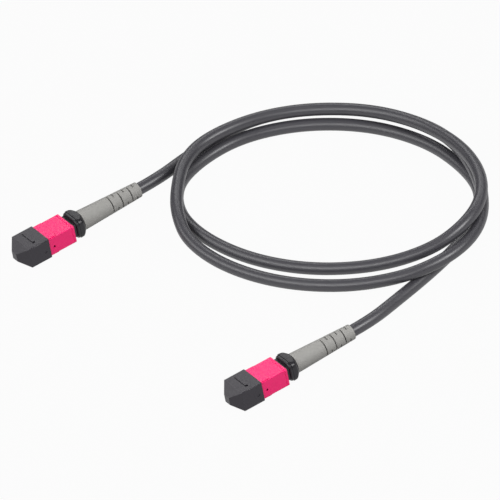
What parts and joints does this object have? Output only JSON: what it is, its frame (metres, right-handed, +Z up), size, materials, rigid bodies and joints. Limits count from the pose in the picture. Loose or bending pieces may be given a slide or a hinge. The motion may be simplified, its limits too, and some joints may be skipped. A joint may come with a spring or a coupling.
{
  "type": "fibre patch cable",
  "caption": "Round fibre patch cable in loose oval loops, with a multi-fibre push-on plug, sliding sleeve, slit boot and pull-off dust cap on each end.",
  "frame": {"origin": "on the table, midway between the two plugs across and along their length", "axes": "+Z up, plugs point along -Y, +X from plug a to plug b, cable loops towards +Y"},
  "size_m": [0.1681, 0.18, 0.0182],
  "materials": {
    "jacket": "satin jacket",
    "cap_plastic": "moulded, satin",
    "sleeve_plastic": "moulded, semi-gloss",
    "frame_plastic": "moulded, satin",
    "ferrule_resin": "polished face",
    "soft_rubber": "soft",
    "spring_steel": "drawn wire",
    "crimp_metal": "turned",
    "boot_rubber": "moulded, satin",
    "ribbon_coating": "clear coat"
  },
  "bodies": {
    "cable_assembly": {"cable": "jacket", "plug_frame_a": "frame_plastic", "back_post_a": "frame_plastic", "crimp_ring_a": "crimp_metal", "strain_relief_a": "boot_rubber", "ferrule_spring_a": "spring_steel", "coupling_springs_a": "spring_steel", "fibre_ribbon_a": "ribbon_coating", "plug_frame_b": "frame_plastic", "back_post_b": "frame_plastic", "crimp_ring_b": "crimp_metal", "strain_relief_b": "boot_rubber", "ferrule_spring_b": "spring_steel", "coupling_springs_b": "spring_steel", "fibre_ribbon_b": "ribbon_coating"},
    "cap_a": {"dust_cap_a": "cap_plastic"},
    "sleeve_a": {"coupling_sleeve_a": "sleeve_plastic"},
    "ferrule_set_a": {"ferrule_a": "ferrule_resin", "ferrule_boot_a": "soft_rubber", "pin_spacer_a": "frame_plastic"},
    "cap_b": {"dust_cap_b": "cap_plastic"},
    "sleeve_b": {"coupling_sleeve_b": "sleeve_plastic"},
    "ferrule_set_b": {"ferrule_b": "ferrule_resin", "ferrule_boot_b": "soft_rubber", "pin_spacer_b": "frame_plastic"}
  },
  "joints": [
    {"name": "cap_pull_a", "type": "slide", "parent": "cable_assembly", "child": "cap_a", "axis": [0, -1, 0], "range_m": [0, 0.026]},
    {"name": "sleeve_slide_a", "type": "slide", "parent": "cable_assembly", "child": "sleeve_a", "axis": [0, 1, 0], "range_m": [0, 0.0016], "stiffness_N_per_m": 1500, "deforming": ["coupling_springs_a"]},
    {"name": "ferrule_float_a", "type": "slide", "parent": "cable_assembly", "child": "ferrule_set_a", "axis": [0, 1, 0], "range_m": [0, 0.0008], "stiffness_N_per_m": 4000, "deforming": ["ferrule_spring_a", "fibre_ribbon_a"]},
    {"name": "cap_pull_b", "type": "slide", "parent": "cable_assembly", "child": "cap_b", "axis": [0, -1, 0], "range_m": [0, 0.026]},
    {"name": "sleeve_slide_b", "type": "slide", "parent": "cable_assembly", "child": "sleeve_b", "axis": [0, 1, 0], "range_m": [0, 0.0016], "stiffness_N_per_m": 1500, "deforming": ["coupling_springs_b"]},
    {"name": "ferrule_float_b", "type": "slide", "parent": "cable_assembly", "child": "ferrule_set_b", "axis": [0, 1, 0], "range_m": [0, 0.0008], "stiffness_N_per_m": 4000, "deforming": ["ferrule_spring_b", "fibre_ribbon_b"]}
  ]
}
